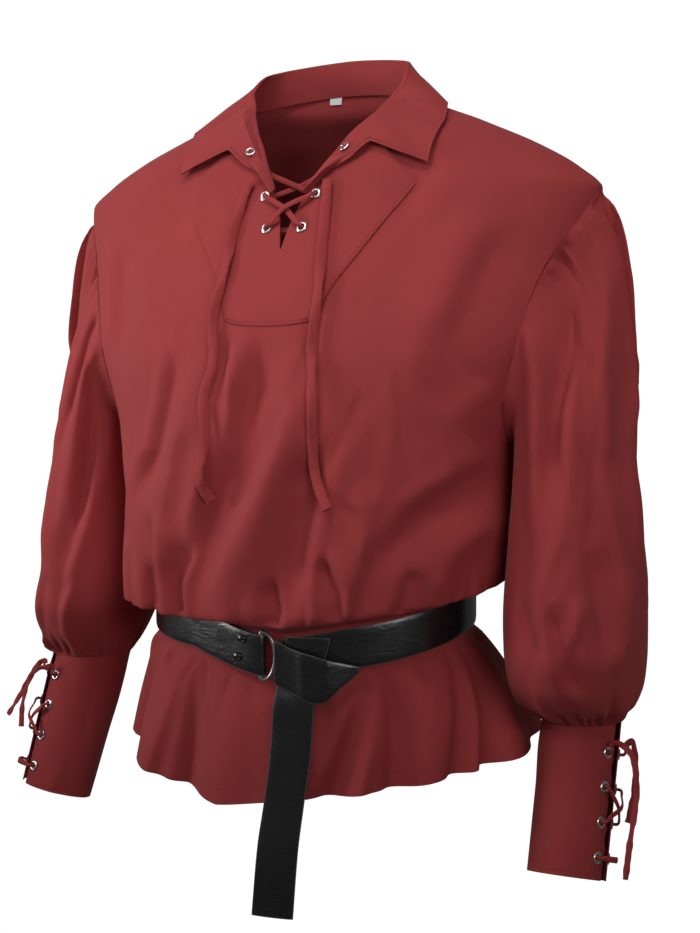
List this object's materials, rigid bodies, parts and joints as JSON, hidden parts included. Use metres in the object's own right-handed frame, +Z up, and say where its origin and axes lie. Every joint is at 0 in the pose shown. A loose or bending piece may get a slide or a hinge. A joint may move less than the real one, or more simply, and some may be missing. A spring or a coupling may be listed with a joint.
{
  "type": "pirate shirt",
  "caption": "Full-sleeved lace-up costume shirt, worn shape with nobody in it, bloused over a knotted leather ring belt, with laced cuffs.",
  "frame": {"origin": "middle of the neck, level with the tops of the shoulder seams, where the wearer holds the shirt up", "axes": "+Z up towards the head, -Y out of the front, +X towards the wearer's left"},
  "size_m": [0.6909, 0.3306, 0.812],
  "materials": {
    "red_cloth": "smooth matt weave",
    "red_lace": "flat strip of the same cloth",
    "eyelet_metal": "polished",
    "label_tape": "woven satin tape",
    "belt_leather": "smooth black, soft sheen",
    "ring_metal": "nickel plated",
    "snap_metal": "black, semi-gloss"
  },
  "bodies": {
    "root": {"front": "red_cloth", "back": "red_cloth", "facing": "red_cloth", "collar": "red_cloth", "sleeve_left_arm": "red_cloth", "sleeve_right_arm": "red_cloth", "cuff_left_arm": "red_cloth", "cuff_right_arm": "red_cloth", "neck_lacing": "red_lace", "neck_lace_end_left": "red_lace", "neck_lace_end_right": "red_lace", "cuff_lacing_left_arm": "red_lace", "cuff_lace_end_left_arm_fore": "red_lace", "cuff_lace_end_left_arm_rear": "red_lace", "cuff_lacing_right_arm": "red_lace", "cuff_lace_end_right_arm_fore": "red_lace", "cuff_lace_end_right_arm_rear": "red_lace", "cuff_eyelet_left_arm_fore_1": "eyelet_metal", "cuff_eyelet_left_arm_fore_2": "eyelet_metal", "cuff_eyelet_left_arm_fore_3": "eyelet_metal", "cuff_eyelet_left_arm_fore_4": "eyelet_metal", "cuff_eyelet_left_arm_rear_1": "eyelet_metal", "cuff_eyelet_left_arm_rear_2": "eyelet_metal", "cuff_eyelet_left_arm_rear_3": "eyelet_metal", "cuff_eyelet_left_arm_rear_4": "eyelet_metal", "cuff_eyelet_right_arm_fore_1": "eyelet_metal", "cuff_eyelet_right_arm_fore_2": "eyelet_metal", "cuff_eyelet_right_arm_fore_3": "eyelet_metal", "cuff_eyelet_right_arm_fore_4": "eyelet_metal", "cuff_eyelet_right_arm_rear_1": "eyelet_metal", "cuff_eyelet_right_arm_rear_2": "eyelet_metal", "cuff_eyelet_right_arm_rear_3": "eyelet_metal", "cuff_eyelet_right_arm_rear_4": "eyelet_metal", "neck_eyelet_upper_left": "eyelet_metal", "neck_eyelet_upper_right": "eyelet_metal", "neck_eyelet_lower_left": "eyelet_metal", "neck_eyelet_lower_right": "eyelet_metal", "collar_eyelet_left": "eyelet_metal", "collar_eyelet_right": "eyelet_metal", "neck_label": "label_tape", "belt_band": "belt_leather", "belt_tail": "belt_leather", "belt_loop": "belt_leather", "belt_ring": "ring_metal", "belt_snap_upper": "snap_metal", "belt_snap_lower": "snap_metal"}
  },
  "joints": []
}
